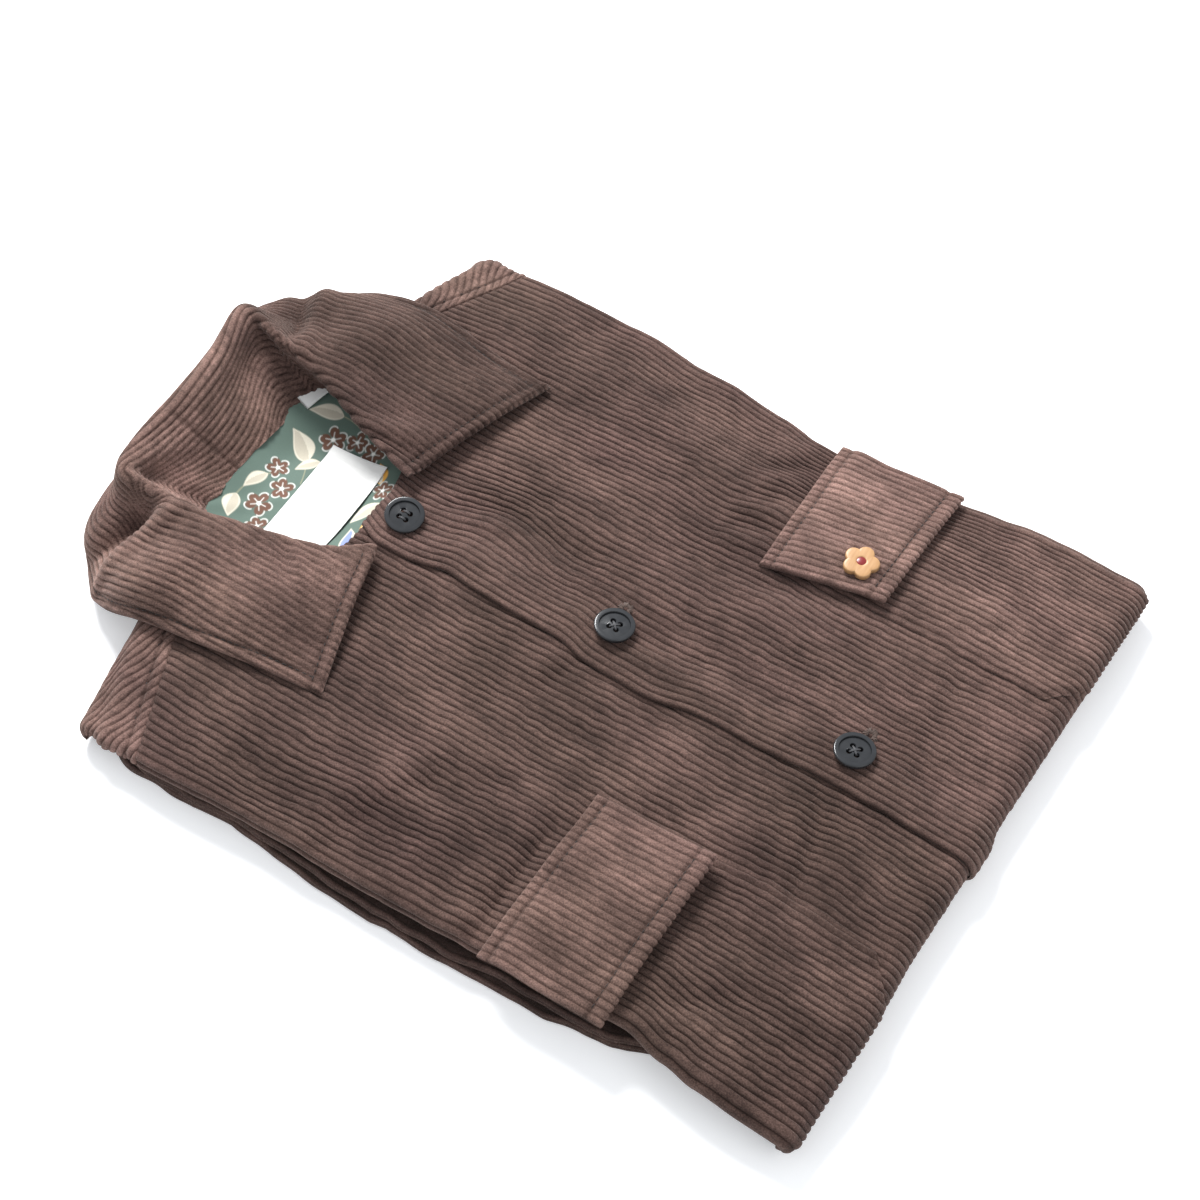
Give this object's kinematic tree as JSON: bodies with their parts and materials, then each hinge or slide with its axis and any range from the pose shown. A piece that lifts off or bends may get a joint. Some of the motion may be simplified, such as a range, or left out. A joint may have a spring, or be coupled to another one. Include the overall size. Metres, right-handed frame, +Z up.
{
  "type": "folded corduroy jacket",
  "caption": "Corduroy shirt jacket folded flat and lying front up, with a spread collar, buttoned placket, flapped patch pockets and a printed neck lining.",
  "frame": {"origin": "middle of the folded bundle, on the surface it lies on", "axes": "+X towards the wearer's left, +Y towards the collar, +Z up"},
  "size_m": [0.3245, 0.4615, 0.052],
  "materials": {
    "corduroy": "brown cotton corduroy, napped ribs",
    "lining": "green printed cotton with blossoms and leaves",
    "label": "plain off-white woven tape",
    "button": "polished black",
    "wood": "varnished light wood"
  },
  "bodies": {
    "root": {"hidden_layers": "corduroy", "right_front": "corduroy", "left_front": "corduroy", "right_yoke": "corduroy", "left_yoke": "corduroy", "right_pocket": "corduroy", "left_pocket": "corduroy", "right_flap": "corduroy", "left_flap": "corduroy", "collar": "corduroy", "neck_lining": "lining", "neck_label": "label", "size_tab": "label", "button_1": "button", "button_2": "button", "button_3": "button", "flower_button": "wood"}
  },
  "joints": []
}
